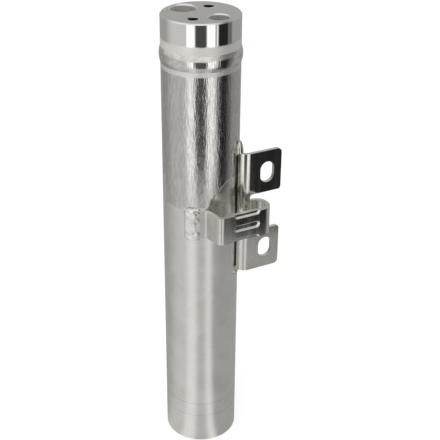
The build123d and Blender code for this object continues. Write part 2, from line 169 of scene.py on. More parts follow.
def merged_copy(node: str) -> bmesh.types.BMesh:
    """A CAD node's shape with its corners merged and its flat faces joined up."""
    bm = bmesh.new()
    bm.from_mesh(frame["nodes"][node].data)
    bmesh.ops.remove_doubles(bm, verts=bm.verts[:], dist=2e-6)
    bmesh.ops.dissolve_limit(
        bm, angle_limit=math.radians(0.4), verts=bm.verts[:], edges=bm.edges[:], delimit=set()
    )
    return bm


def finished_piece(
    name: str, bm: bmesh.types.BMesh, node: str, smooth_angle: float = 30.0
) -> bpy.types.Object:
    """Turns a bmesh into the piece that stands for a CAD node.

    Args:
        name: name of the piece.
        bm: its shape in metres, which is freed.
        node: the CAD node that it replaces.
        smooth_angle: faces that meet at less than this, in degrees, shade as one surface.

    Returns:
        The new object, riding on the body.
    """
    for face in bm.faces:
        face.smooth = True
    limit = math.radians(smooth_angle)
    for edge in bm.edges:
        edge.smooth = len(edge.link_faces) == 2 and edge.calc_face_angle(math.pi) < limit
    mesh = bpy.data.meshes.new(name)
    bm.to_mesh(mesh)
    bm.free()
    piece = bpy.data.objects.new(name, mesh)
    bpy.context.scene.collection.objects.link(piece)
    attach(piece, BODY)
    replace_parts(piece, node)
    return piece


# Shader helpers


class Nodes:
    """A node tree with short calls for the nodes this object's finishes use."""

    def __init__(self, tree: bpy.types.NodeTree) -> None:
        """Keeps the tree.

        Args:
            tree: the node tree that takes the nodes.
        """
        self.tree = tree

    def add(self, kind: str, settings: dict[str, Any] | None = None, **inputs: Any) -> bpy.types.Node:
        """Adds a node.

        Args:
            kind: the node's type name.
            settings: the node's own properties.
            inputs: values or sockets for its inputs, by name with _ for a space, or iN for input N.

        Returns:
            The new node.
        """
        node = self.tree.nodes.new(kind)
        for key, value in (settings or {}).items():
            setattr(node, key, value)
        for key, value in inputs.items():
            socket = node.inputs[int(key[1:])] if key[0] == "i" and key[1:].isdigit() else node.inputs[
                key.replace("_", " ")
            ]
            if isinstance(value, bpy.types.NodeSocket):
                self.tree.links.new(value, socket)
            else:
                socket.default_value = value
        return node

    def math(self, operation: str, *values: Any, clamp: bool = False) -> bpy.types.NodeSocket:
        """A Math node's output for values or sockets."""
        inputs = {f"i{n}": value for n, value in enumerate(values)}
        return self.add("ShaderNodeMath", {"operation": operation, "use_clamp": clamp}, **inputs).outputs[0]

    def band(
        self, value: Any, low: float, high: float, out_low: float = 0.0, out_high: float = 1.0
    ) -> bpy.types.NodeSocket:
        """Soft step of a value from out_low at low to out_high at high."""
        node = self.add(
            "ShaderNodeMapRange",
            {"interpolation_type": "SMOOTHSTEP"},
            Value=value, From_Min=low, From_Max=high, To_Min=out_low, To_Max=out_high,
        )
        return node.outputs[0]

    def between(self, value: Any, low: float, high: float, soft: float) -> bpy.types.NodeSocket:
        """Mask of 1 between two values with soft edges."""
        return self.math(
            "MULTIPLY",
            self.band(value, low - soft, low + soft),
            self.band(value, high - soft, high + soft, 1.0, 0.0),
        )

    def blend(self, share: Any, first: Any, second: Any) -> bpy.types.NodeSocket:
        """Mix of two colours."""
        node = self.add("ShaderNodeMix", {"data_type": "RGBA"})
        for index, value in ((0, share), (6, first), (7, second)):
            if isinstance(value, bpy.types.NodeSocket):
                self.tree.links.new(value, node.inputs[index])
            else:
                node.inputs[index].default_value = (*value, 1.0) if isinstance(value, tuple) else value
        return node.outputs[2]

    def mix_value(self, share: Any, first: Any, second: Any) -> bpy.types.NodeSocket:
        """Mix of two numbers."""
        node = self.add("ShaderNodeMix", {"data_type": "FLOAT"}, i0=share, i2=first, i3=second)
        return node.outputs[0]

    def stretched(self, source: Any, scale: tuple[float, float, float]) -> bpy.types.NodeSocket:
        """Coordinates scaled by axis."""
        return self.add("ShaderNodeMapping", None, Vector=source, Scale=scale).outputs[0]

    def noise(
        self, coords: Any, scale: float, detail: float = 3.0, roughness: float = 0.55
    ) -> bpy.types.NodeSocket:
        """Noise value about 0.5."""
        node = self.add(
            "ShaderNodeTexNoise", None, Vector=coords, Scale=scale, Detail=detail, Roughness=roughness
        )
        return node.outputs["Fac"]


def new_group(
    name: str, inputs: Sequence[tuple[str, str, Any]], outputs: Sequence[tuple[str, str]]
) -> tuple[Nodes, bpy.types.Node, bpy.types.Node]:
    """Starts a shader node group.

    Args:
        name: name of the group.
        inputs: name, socket type and first value of each input.
        outputs: name and socket type of each output.

    Returns:
        The group's nodes, its input node and its output node.
    """
    tree = bpy.data.node_groups.new(name, "ShaderNodeTree")
    for label, kind, value in inputs:
        socket = tree.interface.new_socket(name=label, in_out="INPUT", socket_type=kind)
        if value is not None:
            socket.default_value = value
    for label, kind in outputs:
        tree.interface.new_socket(name=label, in_out="OUTPUT", socket_type=kind)
    nodes = Nodes(tree)
    return nodes, nodes.add("NodeGroupInput"), nodes.add("NodeGroupOutput")


FLOAT, VECTOR, COLOR = "NodeSocketFloat", "NodeSocketVector", "NodeSocketColor"


class EffectLibrary:
    """The effects that several finishes share, each built once as a node group."""

    def __init__(self) -> None:
        """Builds every group."""
        self.fine_lines = self._fine_lines()
        self.smudges = self._smudges()
        self.flecks = self._flecks()
        self.turned_rings = self._turned_rings()

    def _fine_lines(self) -> bpy.types.NodeTree:
        """Close parallel lines along one axis, as rolling and drawing leave them."""
        nodes, given, result = new_group(
            "fine lines",
            [("Vector", VECTOR, None), ("Along", VECTOR, (1.0, 1.0, 0.02)), ("Spacing", FLOAT, 2500.0)],
            [("Value", FLOAT), ("Height", FLOAT)],
        )
        squeezed = nodes.add(
            "ShaderNodeVectorMath",
            {"operation": "MULTIPLY"},
            i0=given.outputs["Vector"],
            i1=given.outputs["Along"],
        )
        fine = nodes.add(
            "ShaderNodeTexNoise",
            None,
            Vector=squeezed.outputs[0],
            Scale=given.outputs["Spacing"],
            Detail=2.0,
        )
        coarse = nodes.math("MULTIPLY", given.outputs["Spacing"], 0.22)
        broad = nodes.add("ShaderNodeTexNoise", None, Vector=squeezed.outputs[0], Scale=coarse, Detail=2.0)
        height = nodes.math(
            "MULTIPLY_ADD", broad.outputs["Fac"], 0.6, nodes.math("MULTIPLY", fine.outputs["Fac"], 0.4)
        )
        nodes.tree.links.new(nodes.band(height, 0.38, 0.62), result.inputs["Value"])
        nodes.tree.links.new(height, result.inputs["Height"])
        return nodes.tree

    def _smudges(self) -> bpy.types.NodeTree:
        """Large soft patches of handling and oxide."""
        nodes, given, result = new_group(
            "smudges", [("Vector", VECTOR, None), ("Size", FLOAT, 90.0)], [("Value", FLOAT)]
        )
        patches = nodes.add(
            "ShaderNodeTexNoise",
            None,
            Vector=given.outputs["Vector"],
            Scale=given.outputs["Size"],
            Detail=4.0,
            Roughness=0.6,
            Distortion=0.4,
        )
        nodes.tree.links.new(nodes.band(patches.outputs["Fac"], 0.35, 0.68), result.inputs["Value"])
        return nodes.tree

    def _flecks(self) -> bpy.types.NodeTree:
        """Upright flecks of etched grain."""
        nodes, given, result = new_group(
            "upright flecks",
            [("Vector", VECTOR, None), ("Scale", FLOAT, 900.0), ("Stretch", FLOAT, 0.25)],
            [("Value", FLOAT), ("Height", FLOAT)],
        )
        parts = nodes.add("ShaderNodeSeparateXYZ", None, Vector=given.outputs["Vector"])
        upright = nodes.math("MULTIPLY", parts.outputs["Z"], given.outputs["Stretch"])
        coords = nodes.add(
            "ShaderNodeCombineXYZ", None, X=parts.outputs["X"], Y=parts.outputs["Y"], Z=upright
        )
        grain = nodes.add(
            "ShaderNodeTexNoise",
            None,
            Vector=coords.outputs[0],
            Scale=given.outputs["Scale"],
            Detail=2.5,
            Roughness=0.6,
            Distortion=0.6,
        )
        wide = nodes.math("MULTIPLY", given.outputs["Scale"], 0.28)
        broad = nodes.add("ShaderNodeTexNoise", None, Vector=coords.outputs[0], Scale=wide, Detail=2.0)
        height = nodes.math("MULTIPLY_ADD", broad.outputs["Fac"], 1.1, grain.outputs["Fac"])
        nodes.tree.links.new(nodes.band(grain.outputs["Fac"], 0.36, 0.64), result.inputs["Value"])
        nodes.tree.links.new(height, result.inputs["Height"])
        return nodes.tree

    def _turned_rings(self) -> bpy.types.NodeTree:
        """Fine concentric marks of a lathe tool about the upright axis."""
        nodes, given, result = new_group(
            "turned rings", [
                ("Vector", VECTOR, None), ("Pitch", FLOAT, 4000.0)
            ], [("Value", FLOAT), ("Height", FLOAT)]
        )
        parts = nodes.add("ShaderNodeSeparateXYZ", None, Vector=given.outputs["Vector"])
        squares = nodes.math(
            "MULTIPLY_ADD",
            parts.outputs["X"],
            parts.outputs["X"],
            nodes.math("MULTIPLY", parts.outputs["Y"], parts.outputs["Y"]),
        )
        radius = nodes.math("SQRT", squares)
        along = nodes.add("ShaderNodeCombineXYZ", None, X=radius, Y=0.0, Z=parts.outputs["Z"])
        marks = nodes.add(
            "ShaderNodeTexNoise", None, Vector=along.outputs[0], Scale=given.outputs["Pitch"], Detail=2.0
        )
        nodes.tree.links.new(nodes.band(marks.outputs["Fac"], 0.38, 0.62), result.inputs["Value"])
        nodes.tree.links.new(marks.outputs["Fac"], result.inputs["Height"])
        return nodes.tree


class Grain(Enum):
    """The surface patterns this object's finishes are made of."""

    POLISHED = "polished turning with a heat-dulled band"
    DRAWN = "drawn and etched tube"
    RIPPLED = "weld ripples"
    ROLLED = "rolled sheet"
    PLATED = "plated or bare drawn metal"
    MOULDED = "moulded plastic or rubber"
    WOVEN = "woven wire"
    FELTED = "pressed fibres"
    BEADED = "packed round beads"


@dataclass(frozen=True)
class Finish:
    """One finish: what the surface is made of and how it looks."""

    slot: str
    grain: Grain
    colour: Colour
    second: Colour
    metallic: float
    roughness: Ring
    bump: float
    ior: float = 1.5


FINISHES = (
    Finish("polished_head", Grain.POLISHED, (0.84, 0.83, 0.80), (0.78, 0.77, 0.73), 1.0, (0.03, 0.06), 0.02),
    Finish("can_aluminium", Grain.DRAWN, (0.79, 0.78, 0.745), (0.72, 0.71, 0.67), 1.0, (0.22, 0.30), 0.012),
    Finish("weld_aluminium", Grain.RIPPLED, (0.84, 0.83, 0.80), (0.62, 0.61, 0.57), 1.0, (0.09, 0.20), 0.016),
    Finish("bracket_sheet", Grain.ROLLED, (0.72, 0.71, 0.67), (0.62, 0.61, 0.56), 1.0, (0.09, 0.15), 0.003),
    Finish("tube_aluminium", Grain.PLATED, (0.79, 0.79, 0.78), (0.70, 0.70, 0.69), 1.0, (0.22, 0.34), 0.006),
    Finish(
        "seal_rubber", Grain.MOULDED, (0.030, 0.050, 0.040), (0.022, 0.034, 0.028), 0.0, (0.45, 0.6), 0.01
    ),
    Finish("strainer_plastic", Grain.MOULDED, (0.78, 0.77, 0.72), (0.72, 0.70, 0.63), 0.0, (0.38, 0.5), 0.01),
    # The screen's second colour is painted shade in the openings between its wires.
    Finish("screen_steel", Grain.WOVEN, (0.58, 0.58, 0.57), (0.14, 0.14, 0.14), 0.9, (0.3, 0.45), 0.06),
    Finish("plate_steel", Grain.PLATED, (0.63, 0.63, 0.62), (0.54, 0.54, 0.52), 1.0, (0.24, 0.38), 0.008),
    Finish("filter_felt", Grain.FELTED, (0.84, 0.83, 0.79), (0.74, 0.73, 0.67), 0.0, (0.85, 0.95), 0.15),
    # The beads' second colour is painted shade in the gaps between them.
    Finish("desiccant_beads", Grain.BEADED, (0.76, 0.66, 0.52), (0.40, 0.31, 0.22), 0.0, (0.6, 0.8), 0.5),
    Finish("spring_steel", Grain.PLATED, (0.48, 0.48, 0.49), (0.38, 0.38, 0.40), 1.0, (0.25, 0.38), 0.006),
)


class Dresser:
    """Makes each finish's material and puts it on the pieces."""

    def __init__(self) -> None:
        """Builds the shared effects and every material."""
        self.effects = EffectLibrary()
        makers: dict[Grain, Callable[[Nodes, Finish, Any], dict[str, Any]]] = {
            Grain.POLISHED: self._polished,
            Grain.DRAWN: self._drawn,
            Grain.RIPPLED: self._rippled,
            Grain.ROLLED: self._rolled,
            Grain.PLATED: self._plated,
            Grain.MOULDED: self._moulded,
            Grain.WOVEN: self._woven,
            Grain.FELTED: self._felted,
            Grain.BEADED: self._beaded,
        }
        self.materials = {finish.slot: self._material(finish, makers[finish.grain]) for finish in FINISHES}

    def dress(self, piece: bpy.types.Object, slot: str) -> None:
        """Gives a piece its one material."""
        piece.data.materials.clear()
        piece.data.materials.append(self.materials[slot])

    def _material(
        self, finish: Finish, maker: Callable[[Nodes, Finish, Any], dict[str, Any]]
    ) -> bpy.types.Material:
        """Builds a finish's material.

        Args:
            finish: the finish.
            maker: gives the sockets for base colour, roughness, height and, if it changes, metallic.

        Returns:
            The material.
        """
        material = bpy.data.materials.new(finish.slot.replace("_", " "))
        material.use_nodes = True
        material.node_tree.nodes.clear()
        nodes = Nodes(material.node_tree)
        coords = nodes.add("ShaderNodeTexCoord").outputs["Object"]
        made = maker(nodes, finish, coords)
        bump = nodes.add(
            "ShaderNodeBump",
            None,
            Strength=made.get("strength", 1.0),
            Distance=finish.bump * MM,
            Height=made["height"],
        )
        surface = nodes.add(
            "ShaderNodeBsdfPrincipled",
            None,
            Base_Color=made["colour"],
            Roughness=made["roughness"],
            Metallic=made.get("metallic", finish.metallic),
            IOR=finish.ior,
            Normal=bump.outputs[0],
        )
        nodes.add("ShaderNodeOutputMaterial", None, Surface=surface.outputs[0])
        return material

    def _group(self, nodes: Nodes, tree: bpy.types.NodeTree, **inputs: Any) -> bpy.types.Node:
        """Places one of the shared effects."""
        return nodes.add("ShaderNodeGroup", {"node_tree": tree}, **inputs)

    def _polished(self, nodes: Nodes, finish: Finish, coords: Any) -> dict[str, Any]:
        """Mirror turning on the side, fine rings on the face, a pale dull band over the seam and painted
        shade in the tapped holes.
        """
        parts = nodes.add("ShaderNodeSeparateXYZ", None, Vector=coords)
        rings = self._group(nodes, self.effects.turned_rings, Vector=coords, Pitch=3600.0)
        smudge = self._group(nodes, self.effects.smudges, Vector=coords, Size=140.0)
        facing = nodes.add("ShaderNodeTexCoord").outputs["Normal"]
        up = nodes.band(nodes.add("ShaderNodeSeparateXYZ", None, Vector=facing).outputs["Z"], 0.92, 0.98)
        ragged = nodes.math("MULTIPLY_ADD", nodes.noise(coords, 420.0), 0.0006, parts.outputs["Z"])
        dull = nodes.band(ragged, 0.2670, 0.2684, 1.0, 0.0)
        roughness = nodes.mix_value(smudge.outputs["Value"], finish.roughness[0], finish.roughness[1])
        roughness = nodes.mix_value(up, roughness, nodes.mix_value(rings.outputs["Value"], 0.16, 0.26))
        roughness = nodes.mix_value(dull, roughness, nodes.mix_value(smudge.outputs["Value"], 0.52, 0.62))
        colour = nodes.blend(rings.outputs["Value"], finish.second, finish.colour)
        colour = nodes.blend(up, finish.colour, colour)
        colour = nodes.blend(dull, colour, (0.88, 0.855, 0.80))
        bored = self._inside(nodes, parts, ((111.5, 8.0), (291.5, 6.4)))
        tapped_hole_shade = self._inside(nodes, parts, ((44.0, 3.0), (224.0, 3.0)))
        # Painted shade: near-black colour on the walls of the two tapped holes stands for the shade deep in
        # them.
        colour = nodes.blend(tapped_hole_shade, colour, (0.06, 0.058, 0.055))
        roughness = nodes.mix_value(bored, roughness, 0.28)
        strength = nodes.mix_value(up, 0.15, 0.8)
        height = nodes.math("MULTIPLY", rings.outputs["Height"], strength)
        return {
            "colour": colour,
            "roughness": roughness,
            "height": height,
            "metallic": nodes.mix_value(bored, nodes.mix_value(dull, 1.0, 0.72), 0.8),
        }

    def _inside(self, nodes: Nodes, parts: bpy.types.Node, holes: Sequence[Ring]) -> Any:
        """Mask of the walls of upright holes below the head's face.

        Args:
            nodes: the material's nodes.
            parts: the separated Object coordinates.
            holes: place round the hole circle in degrees, and radius in millimetres, of each hole.

        Returns:
            The mask's socket.
        """
        mask: Any = 0.0
        for angle, radius in holes:
            x, y = polar(HeadBlock.hole_circle, angle)
            gap_x = nodes.math("SUBTRACT", parts.outputs["X"], x * MM)
            gap_y = nodes.math("SUBTRACT", parts.outputs["Y"], y * MM)
            squares = nodes.math("MULTIPLY_ADD", gap_x, gap_x, nodes.math("MULTIPLY", gap_y, gap_y))
            near = nodes.math("LESS_THAN", squares, (radius * MM) ** 2)
            mask = nodes.math("MAXIMUM", mask, near)
        return nodes.math("MULTIPLY", mask, nodes.math("LESS_THAN", parts.outputs["Z"], 0.2799))

    def _drawn(self, nodes: Nodes, finish: Finish, coords: Any) -> dict[str, Any]:
        """Satin tube with etched flecks in its upper part, faint turned lines near its foot, painted shade by
        the bracket's foot.
        """
        parts = nodes.add("ShaderNodeSeparateXYZ", None, Vector=coords)
        level = parts.outputs["Z"]
        lines = self._group(
            nodes, self.effects.fine_lines, Vector=coords, Along=(1.0, 1.0, 0.015), Spacing=1500.0
        )
        smudge = self._group(nodes, self.effects.smudges, Vector=coords, Size=60.0)
        flecks = self._group(nodes, self.effects.flecks, Vector=coords, Scale=820.0, Stretch=0.22)
        rise = nodes.band(
            nodes.math("ARCTAN2", parts.outputs["Y"], parts.outputs["X"]),
            math.radians(-116.0),
            math.radians(-72.0),
            0.0,
            0.0165,
        )
        ragged = nodes.math(
            "MULTIPLY_ADD", nodes.noise(coords, 150.0), 0.008, nodes.math("SUBTRACT", level, rise)
        )
        etched = nodes.band(ragged, 0.1735, 0.1755)
        rim = nodes.between(ragged, 0.1728, 0.1734, 0.0004)
        pale = nodes.band(
            nodes.math("MULTIPLY_ADD", nodes.noise(coords, 500.0), 0.0008, level), 0.2505, 0.2515
        )
        turned = nodes.math(
            "MAXIMUM",
            nodes.between(level, 0.0299, 0.0305, 0.00015),
            nodes.between(level, 0.0206, 0.0211, 0.00015),
        )
        colour = nodes.blend(smudge.outputs["Value"], finish.second, finish.colour)
        grained = nodes.blend(flecks.outputs["Value"], (0.57, 0.56, 0.53), (0.69, 0.68, 0.65))
        colour = nodes.blend(etched, colour, grained)
        colour = nodes.blend(nodes.math("MULTIPLY", rim, 0.7), colour, (0.92, 0.90, 0.86))
        colour = nodes.blend(pale, colour, (0.84, 0.82, 0.78))
        colour = nodes.blend(nodes.math("MULTIPLY", turned, 0.35), colour, (0.45, 0.44, 0.41))
        # Painted shade: near-black colour in the corner between the can and the bracket's foot.
        colour = nodes.blend(self._painted_crevice_shade(nodes, parts), colour, (0.012, 0.011, 0.010))
        roughness = nodes.mix_value(smudge.outputs["Value"], finish.roughness[0], finish.roughness[1])
        roughness = nodes.mix_value(etched, roughness, nodes.mix_value(flecks.outputs["Value"], 0.22, 0.13))
        roughness = nodes.mix_value(pale, roughness, 0.5)
        smooth_height = nodes.math("MULTIPLY", lines.outputs["Height"], 0.25)
        height = nodes.mix_value(etched, smooth_height, nodes.math("MULTIPLY", flecks.outputs["Height"], 9.0))
        height = nodes.math("SUBTRACT", height, nodes.math("MULTIPLY", turned, 3.0))
        return {"colour": colour, "roughness": roughness, "height": height}

    def _painted_crevice_shade(self, nodes: Nodes, parts: bpy.types.Node) -> Any:
        """Mask of the painted shade in the corner beside the bracket's foot."""
        turn = nodes.math("ARCTAN2", parts.outputs["Y"], parts.outputs["X"])
        beside = nodes.between(turn, math.radians(-55.5), math.radians(-46.0), math.radians(0.8))
        return nodes.math("MULTIPLY", beside, nodes.between(parts.outputs["Z"], 0.1255, 0.1995, 0.0004))

    def _rippled(self, nodes: Nodes, finish: Finish, coords: Any) -> dict[str, Any]:
        """Bright weld with fine ripples round the seam, dull patches and painted shade on the seam bead's
        lower part.
        """
        parts = nodes.add("ShaderNodeSeparateXYZ", None, Vector=coords)
        turn = nodes.math("ARCTAN2", parts.outputs["Y"], parts.outputs["X"])
        wave = nodes.math(
            "SINE",
            nodes.math(
                "MULTIPLY_ADD", turn, 118.0, nodes.math("MULTIPLY", nodes.noise(coords, 130.0), 9.0)
            ),
        )
        patch = self._group(nodes, self.effects.smudges, Vector=coords, Size=210.0)
        pits = nodes.noise(coords, 520.0, 2.0)
        colour = nodes.blend(patch.outputs["Value"], finish.second, finish.colour)
        roughness = nodes.mix_value(patch.outputs["Value"], finish.roughness[1], finish.roughness[0])
        seam = nodes.math("GREATER_THAN", parts.outputs["Z"], 0.25)
        low = nodes.math("MULTIPLY", seam, nodes.band(parts.outputs["Z"], 0.2545, 0.2565, 1.0, 0.0))
        # Painted shade: darker colour on the lower part of the seam bead, which faces down.
        colour = nodes.blend(nodes.math("MULTIPLY", low, 0.45), colour, (0.42, 0.41, 0.38))
        height = nodes.math("MULTIPLY_ADD", wave, nodes.math("MULTIPLY", seam, 0.6), pits)
        return {"colour": colour, "roughness": roughness, "height": height}

    def _rolled(self, nodes: Nodes, finish: Finish, coords: Any) -> dict[str, Any]:
        """Rolled sheet with fine lines across the strap, soft patches, rougher sheared tops and a painted
        highlight on them.
        """
        lines = self._group(
            nodes, self.effects.fine_lines, Vector=coords, Along=(1.0, 1.0, 0.03), Spacing=1300.0
        )
        smudge = self._group(nodes, self.effects.smudges, Vector=coords, Size=120.0)
        colour = nodes.blend(smudge.outputs["Value"], finish.second, finish.colour)
        colour = nodes.blend(nodes.math("MULTIPLY", lines.outputs["Value"], 0.3), colour, (0.80, 0.79, 0.75))
        roughness = nodes.mix_value(lines.outputs["Value"], finish.roughness[0], finish.roughness[1])
        facing = nodes.add(
            "ShaderNodeSeparateXYZ", None, Vector=nodes.add("ShaderNodeTexCoord").outputs["Normal"]
        )
        # Up-facing faces: rougher for the sheared edge, and a lighter colour that is a painted highlight.
        painted_top_highlight_and_shear = nodes.band(facing.outputs["Z"], 0.35, 0.7)
        colour = nodes.blend(painted_top_highlight_and_shear, colour, (0.93, 0.91, 0.87))
        roughness = nodes.mix_value(painted_top_highlight_and_shear, roughness, 0.42)
        return {"colour": colour, "roughness": roughness, "height": lines.outputs["Height"]}

    def _plated(self, nodes: Nodes, finish: Finish, coords: Any) -> dict[str, Any]:
        """Even metal with drawing lines and soft patches."""
        lines = self._group(
            nodes, self.effects.fine_lines, Vector=coords, Along=(1.0, 1.0, 0.05), Spacing=1800.0
        )
        smudge = self._group(nodes, self.effects.smudges, Vector=coords, Size=150.0)
        colour = nodes.blend(smudge.outputs["Value"], finish.second, finish.colour)
        roughness = nodes.mix_value(lines.outputs["Value"], finish.roughness[0], finish.roughness[1])
        return {"colour": colour, "roughness": roughness, "height": lines.outputs["Height"]}

    def _moulded(self, nodes: Nodes, finish: Finish, coords: Any) -> dict[str, Any]:
        """Moulded skin with a fine texture and slight clouding."""
        smudge = self._group(nodes, self.effects.smudges, Vector=coords, Size=260.0)
        skin = nodes.noise(coords, 3500.0, 2.0)
        colour = nodes.blend(smudge.outputs["Value"], finish.second, finish.colour)
        roughness = nodes.mix_value(smudge.outputs["Value"], finish.roughness[0], finish.roughness[1])
        return {"colour": colour, "roughness": roughness, "height": skin}

    def _woven(self, nodes: Nodes, finish: Finish, coords: Any) -> dict[str, Any]:
        """Fine square mesh of wires round the screen, with painted shade in the openings between the wires.
        """
        parts = nodes.add("ShaderNodeSeparateXYZ", None, Vector=coords)
        along = nodes.math("SINE", nodes.math("MULTIPLY", parts.outputs["Z"], 9000.0))
        across = nodes.math(
            "SINE",
            nodes.math("MULTIPLY", nodes.math("ADD", parts.outputs["X"], parts.outputs["Y"]), 9000.0),
        )
        wires = nodes.math("MAXIMUM", along, across)
        shown = nodes.band(wires, -0.1, 0.6)
        # Painted shade: the dark colour in the openings between the wires.
        colour = nodes.blend(shown, finish.second, finish.colour)
        roughness = nodes.mix_value(shown, finish.roughness[1], finish.roughness[0])
        return {"colour": colour, "roughness": roughness, "height": wires}

    def _felted(self, nodes: Nodes, finish: Finish, coords: Any) -> dict[str, Any]:
        """Matted fibres."""
        fibres = nodes.noise(nodes.stretched(coords, (1.0, 1.0, 2.2)), 1400.0, 5.0, 0.7)
        smudge = self._group(nodes, self.effects.smudges, Vector=coords, Size=200.0)
        share = nodes.math(
            "MULTIPLY", nodes.band(fibres, 0.35, 0.62), nodes.band(smudge.outputs["Value"], -0.6, 1.0)
        )
        colour = nodes.blend(share, finish.second, finish.colour)
        roughness = nodes.mix_value(fibres, finish.roughness[0], finish.roughness[1])
        return {"colour": colour, "roughness": roughness, "height": fibres}

    def _beaded(self, nodes: Nodes, finish: Finish, coords: Any) -> dict[str, Any]:
        """Round beads about two millimetres across, with painted shade between them."""
        cells = nodes.add("ShaderNodeTexVoronoi", None, Vector=coords, Scale=480.0, Randomness=0.75)
        bead = nodes.band(cells.outputs["Distance"], 0.25, 0.62, 1.0, 0.0)
        tint = nodes.add("ShaderNodeSeparateColor", None, Color=cells.outputs["Color"]).outputs[0]
        shade = nodes.blend(nodes.math("MULTIPLY", tint, 0.5), finish.colour, (0.66, 0.55, 0.40))
        # Painted shade: the darker colour in the gaps between the beads.
        colour = nodes.blend(bead, finish.second, shade)
        roughness = nodes.mix_value(bead, finish.roughness[1], finish.roughness[0])
        return {"colour": colour, "roughness": roughness, "height": nodes.math("SQRT", bead)}


# The object


@dataclass
class HeadBlock:
    """Turned head with its two ports, two tapped holes, dimple, spigot and boss."""

    body_radius: float = 22.5
    top: float = 280.0
    chamfer: float = 0.7
    shoulder: float = 258.3
    spigot_radius: float = 20.4
    spigot_end: float = 246.3
    boss_radius: float = 4.5
    boss_length: float = 7.0
    pilot_radius: float = 1.85
    pilot_depth: float = 6.0
    hole_circle: float = 13.1
    inlet_angle: float = 111.5
    stud_angle: float = 44.0
    dimple: tuple[float, float] = (20.2, 141.0)
    steps: int = 192

    def build(self, dresser: Dresser) -> bpy.types.Object:
        """Builds and dresses the head."""
        bm = bmesh.new()
        outer = circle_loop(bm, (0, 0), self.body_radius - self.chamfer, self.top, self.steps)
        holes = self._holes()
        loops = [circle_loop(bm, centre, rings[0][0], self.top, 96) for centre, rings, _ in holes]
        bmesh.ops.triangle_fill(bm, use_beauty=True, edges=bm.edges[:], normal=(0, 0, 1))
        prep = self.body_radius - self.spigot_radius
        wall = [
            (self.body_radius - self.chamfer, self.top),
            (self.body_radius, self.top - self.chamfer),
            (self.body_radius, self.shoulder + prep),
            (self.spigot_radius, self.shoulder),
            (self.spigot_radius, self.spigot_end),
        ]
        lower = sink_wall(bm, outer, (0, 0), wall)
        for (centre, rings, through), loop in zip(holes, loops):
            end = sink_wall(bm, loop, centre, rings)
            if through:
                lower = lower + end
            else:
                bmesh.ops.edgeloop_fill(bm, edges=end)
        boss = circle_loop(bm, (0, 0), self.boss_radius, self.spigot_end, 64)
        bmesh.ops.triangle_fill(bm, use_beauty=True, edges=lower + boss, normal=(0, 0, -1))
        self._sink_boss(bm, boss)
        bmesh.ops.recalc_face_normals(bm, faces=bm.faces[:])
        piece = finished_piece("turned_head", bm, "head_block")
        dresser.dress(piece, "polished_head")
        return piece

    def _holes(self) -> list[tuple[tuple[float, float], list[Ring], bool]]:
        """Middle, rings from the face down, and whether it goes through, of each hole."""
        top = self.top
        seal, half = self.shoulder - 8.0, 1.1
        socket = self.spigot_end + 12.0
        inlet = [(8.1, top), (7.25, top - 0.85), (7.25, top - 12), (4.0, top - 12), (4.0, self.spigot_end)]
        outlet = [
            (6.45, top), (5.75, top - 0.7), (5.75, top - 11), (4.0, top - 11), (4.0, socket), (5.05, socket),
            (5.05, seal + half), (6.8, seal + half), (6.8, seal - half), (5.05, seal - half), (
                5.05, self.spigot_end
            ),
        ]
        stud = [(3.1, top), (2.5, top - 0.6), *self._threads(), (2.5, top - 14), (0.05, top - 15.5)]
        return [
            (polar(self.hole_circle, self.inlet_angle), inlet, True),
            (polar(self.hole_circle, self.inlet_angle + 180), outlet, True),
            (polar(self.hole_circle, self.stud_angle), stud, False),
            (polar(self.hole_circle, self.stud_angle + 180), stud, False),
            (polar(*self.dimple), [(1.1, top), (0.7, top - 0.22), (0.05, top - 0.6)], False),
        ]

    def _threads(self) -> list[Ring]:
        """Rings of the thread's crests and roots in a tapped hole."""
        rings: list[Ring] = []
        for turn in range(10):
            crest = self.top - 1.1 - turn
            rings += [(2.5, crest), (2.85, crest - 0.45), (2.85, crest - 0.55)]
        return rings

    def _sink_boss(self, bm: bmesh.types.BMesh, boss: list[bmesh.types.BMEdge]) -> None:
        """Grows the boss below the spigot and drills its pilot hole."""
        low = self.spigot_end - self.boss_length
        end = sink_wall(bm, boss, (0, 0), [(self.boss_radius, self.spigot_end), (self.boss_radius, low)])
        pilot = [
            (self.boss_radius, low), (self.pilot_radius, low), (self.pilot_radius, low + self.pilot_depth)
        ]
        end = sink_wall(bm, end, (0, 0), pilot)
        bmesh.ops.edgeloop_fill(bm, edges=end)


@dataclass
class ShellCan:
    """Drawn can with its own base, bevelled at the lip."""

    radius: float = 22.5
    wall: float = 2.0
    base: float = 3.5
    lip: float = 257.3
    corner: float = 1.5
    inner_corner: float = 2.0
    steps: int = 192

    def build(self, dresser: Dresser) -> bpy.types.Object:
        """Builds and dresses the can."""
        inner = self.radius - self.wall
        outline = [
            (0.0, 0.0), (self.radius, 0.0), (self.radius, self.lip - self.wall), (inner, self.lip),
            (inner, self.base), (0.0, self.base),
        ]
        bm = spun(outline, self.steps)
        round_ring(bm, (self.radius, 0.0), self.corner, 6)
        round_ring(bm, (inner, self.base), self.inner_corner, 5)
        piece = finished_piece("drawn_can", bm, "shell_can")
        dresser.dress(piece, "can_aluminium")
        return piece


